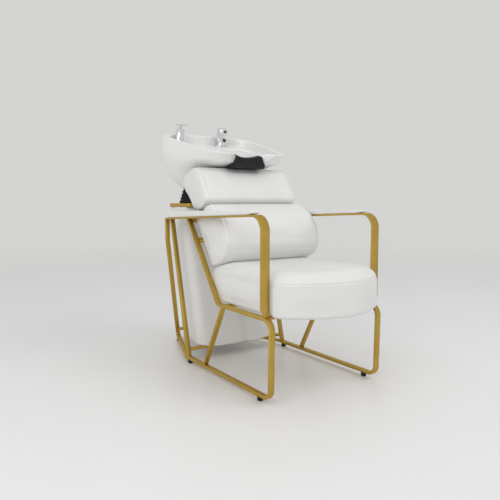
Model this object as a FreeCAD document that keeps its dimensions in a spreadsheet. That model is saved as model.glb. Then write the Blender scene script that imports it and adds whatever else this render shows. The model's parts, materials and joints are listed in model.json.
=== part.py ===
"""Salon shampoo chair: flat-bar frame, cushions, cabinet and a tilting wash bowl.

Lengths are millimetres. +Z is up and the sitter looks along -Y. Y is measured from the
front feet in the tables below, and the whole chair is then shifted so that the origin lies
on the floor under the middle of its box. "right" and "left" are the sitter's own sides.
"""
import FreeCAD, Part
import math
import os
from FreeCAD import Vector

SIZES = {
    # reach of the whole chair before and behind the front feet
    "front_reach": 190, "rear_reach": 979.9,
    # flat bars of the frame
    "frame_spacing": 522, "bar_width": 20, "bar_depth": 12, "seat_bar_height": 307,
    "leg_top_y": -73, "leg_foot_y": -67.5, "leg_bend": 40, "floor_bend": 36,
    "strut_base_y": 301.2, "strut_rise": 287.2, "strut_run": 215.2, "strut_bend": 45,
    "brace_top_y": 265, "brace_foot_y": 416, "post_foot_y": 571.6, "post_top_y": 730.7,
    "loop_start_y": 530, "loop_turn_y": 590, "loop_turn_bend": 60,
    "loop_corner_x": 119, "loop_corner_y": 980, "loop_corner_bend": 18,
    "loop_knee_y": 786, "loop_knee_height": 545, "loop_knee_bend": 60,
    # arm strips
    "arm_width": 36, "arm_depth": 8, "arm_front_y": -39.6, "arm_rear_y": 790,
    "arm_height": 680, "arm_rear_height": 647.5, "arm_bend": 56, "arm_taper": 32, "arm_rear_taper": 60,
    # feet
    "foot_height": 16.5, "foot_radius": 11, "foot_chamfer": 2, "stem_radius": 4, "stem_length": 8,
    "stem_clearance": 0.1, "front_foot_y": 0, "middle_foot_y": 558,
    "rear_foot_x": 132, "rear_foot_y": 944,
    # cross rails
    "front_rail_y": -20, "rear_rail_y": 258, "lower_back_rail": 118, "upper_back_rail": 224,
    "cabinet_rail_height": 58, "cabinet_rear_rail_y": 961,
    # seat
    "buffer_length": 34, "buffer_width": 16, "buffer_height": 5,
    "board_thickness": 12, "board_inset": 26,
    "seat_half_width": 247, "seat_rear_y": 390, "seat_shoulder_y": -83, "seat_corner": 30,
    "seat_nose_half": 86.4, "seat_side_round": 110, "seat_nose_round": 275,
    "seat_front_turn_degrees": 34,
    # backrest, measured along the strut from a datum point and square to it
    "back_datum_setback": 131.8, "back_datum_rise": 149, "back_board_thickness": 8,
    "back_board_rear": 16, "back_rail_rear": 4, "back_board_half_width": 205,
    "back_board_start": -18, "back_board_end": 405,
    "lumbar_half_width": 244, "upper_half_width": 240, "soft_gap": 0.3, "soft_share": 0.3,
    # arm pads
    "pad_width": 42, "pad_front_y": 20, "pad_rear_y": 728, "pad_front_rise": 12.3,
    "pad_rear_rise": 32.2, "pad_corner": 3.5, "pad_end": 14, "pad_end_draw_in": 2,
    "pad_tip": 34, "pad_tip_lift": 3,
    # cabinet
    "cabinet_rise": 391, "cabinet_wall": 15, "cabinet_front_half": 222, "cabinet_rear_half": 105,
    "cabinet_top_rear_half": 165, "cabinet_front_y": 559, "cabinet_top_front_y": 728,
    "cabinet_rear_y": 966, "cabinet_front_corner": 45, "cabinet_rear_corner": 40,
    "panel_half_width": 48, "panel_low": 120, "panel_high": 600, "panel_thickness": 6,
    "panel_lap": 16, "screw_radius": 4.5, "screw_head": 2.4, "screw_shank": 2,
    # shelf plate and tilt mechanism
    "plate_half_width": 185, "plate_front_y": 718, "plate_rear_y": 931, "plate_thickness": 17,
    "plate_corner": 16, "waste_slot_half_width": 40, "waste_slot_front_y": 765,
    "waste_slot_rear_y": 868,
    "pivot_y": 825, "pivot_rise": 30, "pin_radius": 5, "pin_head_radius": 8, "pin_head": 3,
    "pin_clearance": 0.05, "ear_thickness": 6, "ear_radius": 14, "ear_gap": 0.5,
    "cradle_ear_x": 52, "tilt_base_half_width": 95, "tilt_base_front_y": 752,
    "tilt_base_rear_y": 888, "tilt_base_thickness": 5,
    "cradle_half_width": 92, "cradle_half_length": 59, "cradle_along": 325, "cradle_thickness": 5,
    "cradle_hole_radius": 34, "bolt_radius": 4, "bolt_head_radius": 7, "bolt_head": 5,
    "bolt_grip": 8, "bolt_spacing_x": 160, "bolt_spacing_y": 84,
    # bellows
    "bellows_half_width": 148, "bellows_half_depth": 92, "bellows_top_half_width": 128,
    "bellows_top_half_depth": 80, "bellows_corner": 54, "bellows_rib_depth": 8, "bellows_wall": 4,
    "bellows_ribs": 5, "bellows_top_along": 336,
    # bowl, in its own frame: across, along from the neck end, and up from the rim
    "rim_front_y": 434, "rim_rise": 186, "bowl_tilt_degrees": 15.1,
    "bowl_corner": 125, "bowl_corner_share": 0.42, "bowl_depth": 243, "lip_height": 45,
    "rim_width": 22, "well_depth": 40,
    "well_draft": 5, "neck_radius": 150, "neck_centre": -92, "neck_wall": 24,
    "neck_dip": 33, "neck_dip_radius": 156, "basin_floor": 228, "drain_along": 310, "drain_radius": 22,
    # neck rest
    "rest_apron": 13, "rest_drop": 62, "rest_saddle": 18, "rest_thickness": 6, "rest_flare": 17,
    "rest_flare_drop": 4, "rest_half_degrees": 36, "rest_tongue_half": 85,
    # drain
    "flange_radius": 34, "flange_height": 3, "spigot_wall": 2.2, "spigot_end": 262,
    "drain_clearance": 0.1, "nut_radius": 31, "nut_height": 8, "tail_wall": 2.2, "tail_end": 330,
    "strainer_radius": 26, "strainer_hole_radius": 2.2, "strainer_ring_radius": 11, "strainer_holes": 6,
    # mixer
    "mixer_x": -155, "mixer_along": 441, "mixer_base_radius": 24, "mixer_base": 6,
    "mixer_radius": 22, "mixer_height": 58, "mixer_shank_radius": 16, "mixer_shank": 13,
    "cap_height": 14, "cap_radius": 21, "cap_gap": 0.4, "cap_chamfer": 2.5, "spindle_radius": 6,
    "spindle_height": 9, "spindle_clearance": 0.05, "lever_axis": 8, "lever_rise": 11,
    "lever_radius": 4.5, "lever_back": 26, "lever_front": 40, "fork_gap": 0.5, "fork_width": 14,
    "tongue_half": 3, "cheek_width": 3.5, "cheek_half": 4.5, "cheek_rise": 4, "lever_pin_radius": 2,
    # hand shower and its holder
    "shower_x": 85, "shower_along": 447, "holder_base_radius": 27, "holder_base": 6,
    "holder_radius": 18, "holder_height": 20, "holder_shank": 13,
    "holder_shank_radius": 18, "shower_clearance": 0.3, "handle_radius": 13, "handle_drop": 6,
    "head_height": 72, "head_radius": 28, "head_neck": 6, "head_crown": 6, "nozzle_radius": 8,
    "nozzle_length": 7, "nozzle_height": 14.5, "nozzle_recess": 3, "button_radius": 7,
    "button_height": 2, "button_drop": 14,
    # one overrun serves all cuts
    "overrun": 5, "fit_clearance": 0.05,
}

DOC = FreeCAD.newDocument("shampoo_chair")
SHEET = DOC.addObject("Spreadsheet::Sheet", "Sizes")
for row, (alias, value) in enumerate(SIZES.items(), start=1):
    SHEET.set("A%d" % row, alias)
    SHEET.set("B%d" % row, str(value))
    SHEET.setAlias("B%d" % row, alias)
DOC.recompute()

NODES = []
X_AXIS = Vector(1, 0, 0)
CHAIR_SHIFT = "(Sizes.front_reach - Sizes.rear_reach) / 2"


def size(alias):
    """A driving dimension, read from the sheet."""
    return float(SHEET.get(alias))


def shifted(item):
    """Puts an object that is drawn from the front feet into the chair's frame."""
    item.setExpression("Placement.Base.y", CHAIR_SHIFT)
    return item


def node(item, label):
    """Names a finished sub-part and keeps it for the export."""
    item.Label = label
    NODES.append(item)
    return item


# Outlines and paths

def corner_arc(before, corner, after, radius):
    """Start, middle and end of the arc that rounds one corner of a path."""
    back = (before - corner).normalize()
    ahead = (after - corner).normalize()
    half_angle = back.getAngle(ahead) / 2
    tangent = radius / math.tan(half_angle)
    bisector = (back + ahead).normalize()
    middle = corner + bisector * (radius / math.sin(half_angle) - radius)
    return corner + back * tangent, middle, corner + ahead * tangent


def rounded_path(points, radii):
    """Open wire through the points, with an arc at each inner point."""
    edges = []
    start = points[0]
    for i in range(1, len(points) - 1):
        arc_start, middle, arc_end = corner_arc(points[i - 1], points[i], points[i + 1], radii[i - 1])
        edges.append(Part.makeLine(start, arc_start))
        edges.append(Part.Arc(arc_start, middle, arc_end).toShape())
        start = arc_end
    edges.append(Part.makeLine(start, points[-1]))
    return Part.Wire(edges)


def rounded_loop(points, radii):
    """Closed wire round the points, with an arc at each of them."""
    count = len(points)
    arcs = [corner_arc(points[i - 1], points[i], points[(i + 1) % count], radii[i]) for i in range(count)]
    edges = []
    for i in range(count):
        start, middle, end = arcs[i]
        edges.append(Part.Arc(start, middle, end).toShape())
        edges.append(Part.makeLine(end, arcs[(i + 1) % count][0]))
    return Part.Wire(edges)


# Features

def wire_feature(name, wire):
    """A wire of the document, for a sweep or a loft to read."""
    feature = DOC.addObject("Part::Feature", name)
    feature.Shape = wire
    return feature


def loft(name, wires, ruled):
    """Solid loft through closed wires."""
    result = DOC.addObject("Part::Loft", name)
    result.Sections = [wire_feature("%s_section" % name, wire) for wire in wires]
    result.Solid = True
    result.Ruled = ruled
    return result


def bar(name, points, radii, wide_axis, width, depth):
    """Flat bar bent along a path; wide_axis is the way its width lies at the start."""
    along = (points[1] - points[0]).normalize()
    deep_axis = along.cross(wide_axis).normalize()
    wide = wide_axis * (width / 2)
    deep = deep_axis * (depth / 2)
    start = points[0]
    corners = [start + wide + deep, start - wide + deep, start - wide - deep, start + wide - deep]
    path = rounded_path(points, radii)
    spine = shifted(wire_feature("%s_path" % name, path))
    profile = shifted(wire_feature("%s_profile" % name, Part.makePolygon(corners + corners[:1])))
    sweep = DOC.addObject("Part::Sweep", name)
    sweep.Spine = (spine, ["Edge%d" % (i + 1) for i in range(len(path.Edges))])
    sweep.Sections = [profile]
    sweep.Solid = True
    sweep.Frenet = False
    return sweep


def cut(name, base, tool):
    """base with tool taken away."""
    result = DOC.addObject("Part::Cut", name)
    result.Base = base
    result.Tool = tool
    return result


def fuse(name, items):
    """Several solids joined to one."""
    result = DOC.addObject("Part::MultiFuse", name)
    result.Shapes = items
    result.Refine = True
    return result


def group(name, items):
    """Several separate solids in one sub-part."""
    result = DOC.addObject("Part::Compound", name)
    result.Links = items
    return result


def mirrored(item, label):
    """The same piece on the other side of the chair."""
    twin = DOC.addObject("Part::Mirroring", label)
    twin.Source = item
    twin.Normal = X_AXIS
    return node(twin, label)


def box(name, low, high):
    """Block between two corners."""
    result = DOC.addObject("Part::Box", name)
    result.Length = high.x - low.x
    result.Width = high.y - low.y
    result.Height = high.z - low.z
    result.Placement.Base = low
    return result


def cylinder(name, radius, length, base, axis):
    """Round bar from base along axis; radius and length are expressions on the sheet."""
    result = DOC.addObject("Part::Cylinder", name)
    result.setExpression("Radius", radius)
    result.setExpression("Height", length)
    result.Placement = FreeCAD.Placement(base, FreeCAD.Rotation(Vector(0, 0, 1), axis))
    return result


def sketch_on(body, role, points):
    """Closed outline of straight lines on one of a body's origin planes."""
    sketch = body.newObject("Sketcher::SketchObject", "%s_outline" % body.Name)
    plane = [item for item in body.Origin.OriginFeatures if item.Role == role][0]
    sketch.AttachmentSupport = [(plane, "")]
    sketch.MapMode = "FlatFace"
    count = len(points)
    for i in range(count):
        sketch.addGeometry(Part.LineSegment(points[i], points[(i + 1) % count]), False)
    return sketch


def padded(name, role, points, length):
    """Body of one outline, padded by an expression on the sheet."""
    body = DOC.addObject("PartDesign::Body", name)
    pad = body.newObject("PartDesign::Pad", "%s_pad" % name)
    pad.Profile = sketch_on(body, role, points)
    pad.setExpression("Length", length)
    return body


def turned(name, profile):
    """Body turned round its Z axis from an outline of (radius, height) points."""
    body = DOC.addObject("PartDesign::Body", name)
    sketch = sketch_on(body, "XZ_Plane", [Vector(radius, height, 0) for radius, height in profile])
    turn = body.newObject("PartDesign::Revolution", "%s_turn" % name)
    turn.Profile = sketch
    turn.ReferenceAxis = (sketch, ["V_Axis"])
    turn.Angle = 360
    return body


# Places that several pieces share

half_spacing = size("frame_spacing") / 2
bar_half = size("bar_width") / 2
bar_half_depth = size("bar_depth") / 2
bar_inner = half_spacing - bar_half
floor_height = size("foot_height") + bar_half_depth
floor_bar_top = size("foot_height") + size("bar_depth")
seat_bar_top = size("seat_bar_height") + bar_half_depth
seat_bar_bottom = size("seat_bar_height") - bar_half_depth
cabinet_top = size("seat_bar_height") + size("cabinet_rise")
plate_top = cabinet_top + size("plate_thickness")
pivot_height = plate_top + size("pivot_rise")
rim_height = pivot_height + size("rim_rise")
overrun = size("overrun")
arm_half_depth = size("arm_depth") / 2
arm_x = bar_inner + size("arm_width") / 2
arm_fall = (size("arm_height") - size("arm_rear_height")) / (size("arm_rear_y") - size("arm_front_y"))


def arm_top(y):
    """Height of the arm strip's top face."""
    return size("arm_height") - arm_fall * (y - size("arm_front_y"))


def arm_underside(y):
    """Height of the arm strip's lower face."""
    return arm_top(y) - size("arm_depth") * math.hypot(1, arm_fall)


strut_along = Vector(0, size("strut_run"), size("strut_rise")).normalize()
strut_out = Vector(0, -strut_along.z, strut_along.y)


def on_back(along, out, x):
    """Point of the backrest, by its distance along the strut and square to it."""
    datum = Vector(x, size("strut_base_y") + size("back_datum_setback"),
                   size("seat_bar_height") + size("back_datum_rise"))
    return datum + strut_along * along + strut_out * out


# Side frames

def arm_clearance_block():
    """Everything above the arm strips' lower faces, to trim what reaches up to them."""
    front = size("arm_front_y") + size("arm_bend")
    rear = size("rear_reach")
    outline = [
        Vector(front, arm_underside(front), 0),
        Vector(rear, arm_underside(rear), 0),
        Vector(rear, rim_height, 0),
        Vector(front, rim_height, 0),
    ]
    block = padded("above_arms", "YZ_Plane", outline, "Sizes.frame_spacing")
    block.Placement.Base.x = -size("frame_spacing") - bar_half
    return shifted(block)


def stem_hole(name, x, y):
    """Hole for a foot's stem in the underside of a floor bar."""
    length = "Sizes.stem_length + Sizes.overrun + Sizes.stem_clearance"
    hole = cylinder(name, "Sizes.stem_radius + Sizes.stem_clearance", length,
                    Vector(x, y, size("foot_height") - overrun), Vector(0, 0, 1))
    hole.setExpression("Placement.Base.y", "%s + %.3f" % (CHAIR_SHIFT, y))
    return hole


def side_frame():
    """Backrest strut, seat bar, front leg and floor bar: one bent bar."""
    x = -half_spacing
    base = Vector(x, size("strut_base_y"), size("seat_bar_height"))
    points = [
        base + strut_along * (size("arm_height") - size("seat_bar_height")) / strut_along.z,
        base,
        Vector(x, size("leg_top_y"), size("seat_bar_height")),
        Vector(x, size("leg_foot_y"), floor_height),
        Vector(x, size("loop_start_y"), floor_height),
    ]
    radii = [size("strut_bend"), size("leg_bend"), size("floor_bend")]
    bent = bar("side_bar", points, radii, X_AXIS, size("bar_width"), size("bar_depth"))
    trimmed = cut("side_bar_trimmed", bent, ABOVE_ARMS)
    hole = stem_hole("front_stem_hole", x, size("front_foot_y"))
    return node(cut("right_side_frame", trimmed, hole), "right_side_frame")


def rear_loop():
    """Bar from the floor bar's end, inward and back to a corner, and up to the arm."""
    x = -half_spacing
    points = [
        Vector(x, size("loop_start_y"), floor_height),
        Vector(x, size("loop_turn_y"), floor_height),
        Vector(-size("loop_corner_x"), size("loop_corner_y"), floor_height),
        Vector(x, size("loop_knee_y"), size("loop_knee_height")),
        Vector(x, size("loop_knee_y"), size("arm_height")),
    ]
    radii = [size("loop_turn_bend"), size("loop_corner_bend"), size("loop_knee_bend")]
    bent = bar("loop_bar", points, radii, X_AXIS, size("bar_width"), size("bar_depth"))
    trimmed = cut("loop_bar_trimmed", bent, ABOVE_ARMS)
    middle = stem_hole("middle_stem_hole", x, size("middle_foot_y"))
    rear = stem_hole("rear_stem_hole", -size("rear_foot_x"), size("rear_foot_y"))
    return node(cut("right_rear_loop", cut("loop_bar_drilled", trimmed, middle), rear), "right_rear_loop")


def leaning_bar(label, foot_y, top_y, top_height, top_fall):
    """Straight bar from the floor bar up to a face that falls by top_fall a millimetre."""
    half = bar_half_depth * math.hypot(1, (top_y - foot_y) / (top_height - floor_bar_top))
    outline = [
        Vector(foot_y - half, floor_bar_top, 0),
        Vector(foot_y + half, floor_bar_top, 0),
        Vector(top_y + half, top_height - top_fall * half, 0),
        Vector(top_y - half, top_height + top_fall * half, 0),
    ]
    body = padded(label, "YZ_Plane", outline, "Sizes.bar_width")
    body.setExpression("Placement.Base.x", "-(Sizes.frame_spacing + Sizes.bar_width) / 2")
    return node(shifted(body), label)


def arm_strip():
    """Wide strip from the seat bar up and back over the arm, tapered at both ends."""
    taper_top = seat_bar_top + size("arm_taper")
    below_top = arm_half_depth * math.hypot(1, arm_fall)
    points = [
        Vector(-arm_x, size("arm_front_y"), taper_top),
        Vector(-arm_x, size("arm_front_y"), size("arm_height") - below_top),
        Vector(-arm_x, size("arm_rear_y"), size("arm_rear_height") - below_top),
    ]
    strip = bar("arm_bar", points, [size("arm_bend")], X_AXIS, size("arm_width"), size("arm_depth"))
    front = size("arm_front_y") - arm_half_depth
    rear = size("arm_front_y") + arm_half_depth
    wires = []
    for width, height in ((size("bar_width"), seat_bar_top), (size("arm_width"), taper_top)):
        corners = [
            Vector(-bar_inner, front, height),
            Vector(-bar_inner, rear, height),
            Vector(-bar_inner - width, rear, height),
            Vector(-bar_inner - width, front, height),
        ]
        wires.append(Part.makePolygon(corners + corners[:1]))
    taper = shifted(loft("arm_taper_loft", wires, True))
    outer = bar_inner + size("arm_width")
    slim = bar_inner + size("bar_width")
    end = size("arm_rear_y")
    start = end - size("arm_rear_taper")
    wedge = padded("arm_rear_wedge", "XY_Plane", [
        Vector(-outer - overrun, start, 0), Vector(-outer, start, 0),
        Vector(-slim, end, 0), Vector(-slim, end + overrun, 0), Vector(-outer - overrun, end + overrun, 0),
    ], "Sizes.arm_height")
    blank = fuse("arm_strip_blank", [strip, taper])
    return node(cut("right_arm_strip", blank, shifted(wedge)), "right_arm_strip")


def foot(label, x, y):
    """Rubber glide with a stem that is pushed into the bar."""
    chamfer = size("foot_chamfer")
    profile = [
        (0, 0),
        (size("foot_radius") - chamfer, 0),
        (size("foot_radius"), chamfer),
        (size("foot_radius"), size("foot_height")),
        (size("stem_radius"), size("foot_height")),
        (size("stem_radius"), size("foot_height") + size("stem_length")),
        (0, size("foot_height") + size("stem_length")),
    ]
    body = turned(label, profile)
    body.Placement.Base.x = x
    body.setExpression("Placement.Base.y", "%s + %.3f" % (CHAIR_SHIFT, y))
    return node(body, label)


ABOVE_ARMS = arm_clearance_block()
right_frame = side_frame()
right_loop = rear_loop()
right_brace = leaning_bar("right_brace", size("brace_foot_y"), size("brace_top_y"), seat_bar_bottom, 0)
right_post = leaning_bar("right_rear_post", size("post_foot_y"), size("post_top_y"),
                         arm_underside(size("post_top_y")), arm_fall)
right_arm = arm_strip()
left_frame = mirrored(right_frame, "left_side_frame")
left_loop = mirrored(right_loop, "left_rear_loop")
mirrored(right_brace, "left_brace")
mirrored(right_post, "left_rear_post")
mirrored(right_arm, "left_arm_strip")
for side, sign in (("right", -1), ("left", 1)):
    foot("%s_front_foot" % side, sign * half_spacing, size("front_foot_y"))
    foot("%s_middle_foot" % side, sign * half_spacing, size("middle_foot_y"))
    foot("%s_rear_foot" % side, sign * size("rear_foot_x"), size("rear_foot_y"))


# Cross rails

def rail_block(name, half_length, y, height):
    """Flat bar across the chair, its width along Y."""
    block = box(name, Vector(-half_length, y - bar_half, height - bar_half_depth),
                Vector(half_length, y + bar_half, height + bar_half_depth))
    block.setExpression("Placement.Base.y", "%s + %.3f" % (CHAIR_SHIFT, y - bar_half))
    return block


def back_rail(label, along):
    """Bar between the backrest struts, flush with their faces."""
    low, high = along - bar_half, along + bar_half
    outline = []
    for step, out in ((low, -1), (high, -1), (high, 1), (low, 1)):
        spot = on_back(step, size("back_rail_rear") + (out + 1) * bar_half_depth, 0)
        outline.append(Vector(spot.y, spot.z, 0))
    body = padded(label, "YZ_Plane", outline, "Sizes.frame_spacing - Sizes.bar_width")
    body.setExpression("Placement.Base.x", "-(Sizes.frame_spacing - Sizes.bar_width) / 2")
    return node(shifted(body), label)


for end in ("front", "rear"):
    seat_rail = "%s_seat_rail" % end
    rail_y = size("%s_rail_y" % end)
    node(rail_block(seat_rail, bar_inner, rail_y, size("seat_bar_height")), seat_rail)
back_rail("lower_back_rail", size("lower_back_rail"))
back_rail("upper_back_rail", size("upper_back_rail"))
post_lean = (size("post_top_y") - size("post_foot_y")) / (arm_underside(size("post_top_y")) - floor_bar_top)
cabinet_rail_y = size("post_foot_y") + post_lean * (size("cabinet_rail_height") - floor_bar_top)
node(rail_block("cabinet_front_rail", bar_inner, cabinet_rail_y, size("cabinet_rail_height")),
     "cabinet_front_rail")
rear_rail = rail_block("rear_rail_blank", size("loop_corner_x") + bar_half, size("cabinet_rear_rail_y"),
                       size("cabinet_rail_height"))
half_trimmed = cut("rear_rail_right_end", rear_rail, right_loop)
node(cut("cabinet_rear_rail", half_trimmed, left_loop), "cabinet_rear_rail")


# Seat

def prism(name, points, radii, low, high):
    """Upright block with a rounded outline, from one height to another."""
    wires = []
    for height in (low, high):
        wires.append(rounded_loop([Vector(point.x, point.y, height) for point in points], radii))
    return loft(name, wires, True)


def seat_outline(inset):
    """Outline of the seat, round at the front, drawn in by an inset; and its corner radii."""
    turn = math.radians(size("seat_front_turn_degrees"))
    half = size("seat_half_width") - inset
    rear = size("seat_rear_y") - inset
    front = inset - size("front_reach")
    shoulder = size("seat_shoulder_y") + math.tan((math.pi / 2 - turn) / 2) * inset
    nose = size("seat_nose_half") - math.tan(turn / 2) * inset
    points = [
        Vector(-half, rear, 0), Vector(half, rear, 0), Vector(half, shoulder, 0),
        Vector(nose, front, 0), Vector(-nose, front, 0), Vector(-half, shoulder, 0),
    ]
    rear_round = size("seat_corner")
    side_round = size("seat_side_round") - inset
    nose_round = size("seat_nose_round") - inset
    return points, [rear_round, rear_round, side_round, nose_round, nose_round, side_round]


# height above the rails and draw-in of the sides, from the underside to the crown
SEAT_SECTIONS = ((5, 5), (11, 1), (60, 0), (108, 0), (122, 2), (132, 10), (140, 26), (145, 60))

board_bottom = seat_bar_top + size("buffer_height")
board_top = board_bottom + size("board_thickness")


def seat_cushion():
    """Boxed cushion with a crown, hollowed underneath for its board."""
    wires = []
    for rise, inset in SEAT_SECTIONS:
        points, radii = seat_outline(inset)
        wires.append(rounded_loop([Vector(p.x, p.y, seat_bar_top + rise) for p in points], radii))
    cushion = shifted(loft("seat_cushion_form", wires, True))
    points, radii = seat_outline(size("board_inset") - size("soft_gap"))
    pocket = prism("seat_board_pocket", points, radii, board_bottom - overrun, board_top + size("soft_gap"))
    return node(cut("seat_cushion", cushion, shifted(pocket)), "seat_cushion")


def seat_buffers():
    """Rubber blocks between the seat rails and the board."""
    blocks = []
    for rail in ("front_rail_y", "rear_rail_y"):
        for sign in (-1, 1):
            middle = sign * (size("seat_half_width") - size("board_inset") - size("buffer_length"))
            half = Vector(size("buffer_length") / 2, size("buffer_width") / 2, 0)
            low = Vector(middle, size(rail), seat_bar_top) - half
            block = box("buffer_block", low, Vector(middle, size(rail), board_bottom) + half)
            block.setExpression("Placement.Base.y", "%s + %.3f" % (CHAIR_SHIFT, low.y))
            blocks.append(block)
    return node(group("seat_buffers", blocks), "seat_buffers")


seat_buffers()
board_points, board_radii = seat_outline(size("board_inset"))
node(shifted(prism("seat_board", board_points, board_radii, board_bottom, board_top)), "seat_board")
seat_cushion()


# Backrest

# distance along the strut and square to it
LUMBAR_OUTLINE = (
    (-33, 24.3), (-51.5, 80), (-57, 151), (-30, 197), (38, 224), (114, 220), (194, 177), (211, 150),
    (216, 57), (216, 24.3),
)
UPPER_OUTLINE = (
    (222, 88), (221, 140), (224, 162), (240, 168), (275, 170.5), (330, 172.5), (380, 172), (400, 163),
    (417, 136), (431, 84), (432, 50), (424, 24.3), (372, 24.3), (345, 34), (296, 40), (266, 42),
)
# place across the chair, in half widths, and size of the outline there
CUSHION_END_SHARES = (
    (-1, 0.955), (-0.985, 0.985), (-0.95, 0.997), (-0.6, 1),
    (0.6, 1), (0.95, 0.997), (0.985, 0.985), (1, 0.955),
)


def soft_loop(points, tangent_share):
    """Closed wire whose arcs use up a share of the shorter edge at every corner."""
    count = len(points)
    radii = []
    for i in range(count):
        back = points[i - 1] - points[i]
        ahead = points[(i + 1) % count] - points[i]
        tangent = tangent_share * min(back.Length, ahead.Length)
        radii.append(tangent * math.tan(back.getAngle(ahead) / 2))
    return rounded_loop(points, radii)


def back_cushion(label, outline, half_width):
    """Cushion of one side outline, drawn in at both ends."""
    middle = sum(along for along, out in outline) / len(outline)
    back = min(out for along, out in outline)
    wires = []
    for place, scale in CUSHION_END_SHARES:
        points = []
        for along, out in outline:
            points.append(on_back(middle + (along - middle) * scale, back + (out - back) * scale,
                                  place * half_width))
        wires.append(soft_loop(points, size("soft_share")))
    return node(shifted(loft(label, wires, True)), label)


def back_board():
    """Board behind both cushions, in front of the rails between the struts."""
    low, high = size("back_board_start"), size("back_board_end")
    rear = size("back_board_rear")
    front = rear + size("back_board_thickness")
    outline = []
    for along, out in ((low, rear), (high, rear), (high, front), (low, front)):
        spot = on_back(along, out, 0)
        outline.append(Vector(spot.y, spot.z, 0))
    body = padded("back_board", "YZ_Plane", outline, "2 * Sizes.back_board_half_width")
    body.setExpression("Placement.Base.x", "-Sizes.back_board_half_width")
    return node(shifted(body), "back_board")


back_board()
back_cushion("lumbar_cushion", LUMBAR_OUTLINE, size("lumbar_half_width"))
back_cushion("upper_back_cushion", UPPER_OUTLINE, size("upper_half_width"))


# Arm pads

def arm_pad():
    """Wedge-shaped pad on top of the arm strip."""
    front, rear = size("pad_front_y"), size("pad_rear_y")
    draw_in = size("pad_end_draw_in")
    lift = size("pad_tip_lift")
    part_lift = lift * (1 - size("pad_end") / size("pad_tip"))
    wires = []
    for y, inset, clear in (
            (front, draw_in, lift), (front + size("pad_end"), 0, part_lift),
            (front + size("pad_tip"), 0, 0), (rear - size("pad_end"), 0, 0), (rear, draw_in, 0)):
        share = (y - front) / (rear - front)
        rise = size("pad_front_rise") + share * (size("pad_rear_rise") - size("pad_front_rise"))
        half = size("pad_width") / 2 - inset
        low = arm_top(y) + clear + size("fit_clearance")
        top = arm_top(y) + rise - inset
        points = [
            Vector(-arm_x - half, y, low), Vector(-arm_x + half, y, low),
            Vector(-arm_x + half, y, top), Vector(-arm_x - half, y, top),
        ]
        wires.append(rounded_loop(points, [size("pad_corner")] * len(points)))
    return node(shifted(loft("right_arm_pad", wires, True)), "right_arm_pad")


mirrored(arm_pad(), "left_arm_pad")


# Cabinet

cabinet_bottom = size("cabinet_rail_height") + bar_half_depth


def cabinet_form(name, inset):
    """The cabinet's body, drawn in on every side by an inset."""
    wires = []
    rear = size("cabinet_rear_y") - inset
    for front_y, rear_half, height in (
            (size("cabinet_front_y"), size("cabinet_rear_half"), cabinet_bottom + inset),
            (size("cabinet_top_front_y"), size("cabinet_top_rear_half"), cabinet_top - inset)):
        front = front_y + inset
        front_half = size("cabinet_front_half") - inset
        points = [
            Vector(-front_half, front, height), Vector(front_half, front, height),
            Vector(rear_half - inset, rear, height), Vector(inset - rear_half, rear, height),
        ]
        front_round = size("cabinet_front_corner") - inset
        rear_round = size("cabinet_rear_corner") - inset
        wires.append(rounded_loop(points, [front_round, front_round, rear_round, rear_round]))
    return shifted(loft(name, wires, True))


def waste_slot(name, low, high):
    """Room for the waste pipe, which swings with the bowl."""
    half = size("waste_slot_half_width")
    slot = box(name, Vector(-half, size("waste_slot_front_y"), low - overrun),
               Vector(half, size("waste_slot_rear_y"), high + overrun))
    return shifted_box(slot, size("waste_slot_front_y"))


def shifted_box(block, y):
    """Puts a block drawn from the front feet into the chair's frame."""
    block.setExpression("Placement.Base.y", "%s + %.3f" % (CHAIR_SHIFT, y))
    return block


def cabinet():
    """Upholstered housing: closed all round, with a panel opening behind."""
    shell = cut("cabinet_shell", cabinet_form("cabinet_outside", 0),
                cabinet_form("cabinet_inside", size("cabinet_wall")))
    opening_y = size("cabinet_rear_y") - size("cabinet_wall") - overrun
    opening = box("panel_opening", Vector(-size("panel_half_width"), opening_y, size("panel_low")),
                  Vector(size("panel_half_width"), size("cabinet_rear_y") + overrun, size("panel_high")))
    shifted_box(opening, opening_y)
    opened = cut("cabinet_opened", shell, opening)
    slot = waste_slot("cabinet_waste_slot", cabinet_top - size("cabinet_wall"), cabinet_top)
    return node(cut("cabinet", opened, slot), "cabinet")


def panel_screw(x, height):
    """Screw through the panel, up to the cabinet's rear wall."""
    rear = size("cabinet_rear_y") + size("panel_thickness")
    head = cylinder("panel_screw_head", "Sizes.screw_radius", "Sizes.screw_head",
                    Vector(x, rear, height), Vector(0, 1, 0))
    shank = panel_screw_shank("Sizes.screw_shank", x, height)
    return fuse("panel_screw", [shifted_box(head, rear), shank])


def panel_screw_shank(radius, x, height):
    """Round bar in a panel screw's place."""
    start = size("cabinet_rear_y")
    shank = cylinder("panel_screw_shank", radius, "Sizes.panel_thickness + Sizes.screw_head",
                     Vector(x, start, height), Vector(0, 1, 0))
    return shifted_box(shank, start)


def panel():
    """Rear access panel, larger all round than its opening."""
    lap = size("panel_lap")
    half = size("panel_half_width") + lap
    low = Vector(-half, size("cabinet_rear_y"), size("panel_low") - lap)
    high = Vector(half, size("cabinet_rear_y") + size("panel_thickness"), size("panel_high") + lap)
    blank = shifted_box(box("panel_blank", low, high), low.y)
    return node(cut("cabinet_rear_panel", blank, PANEL_SCREW_HOLES), "cabinet_rear_panel")


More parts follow.
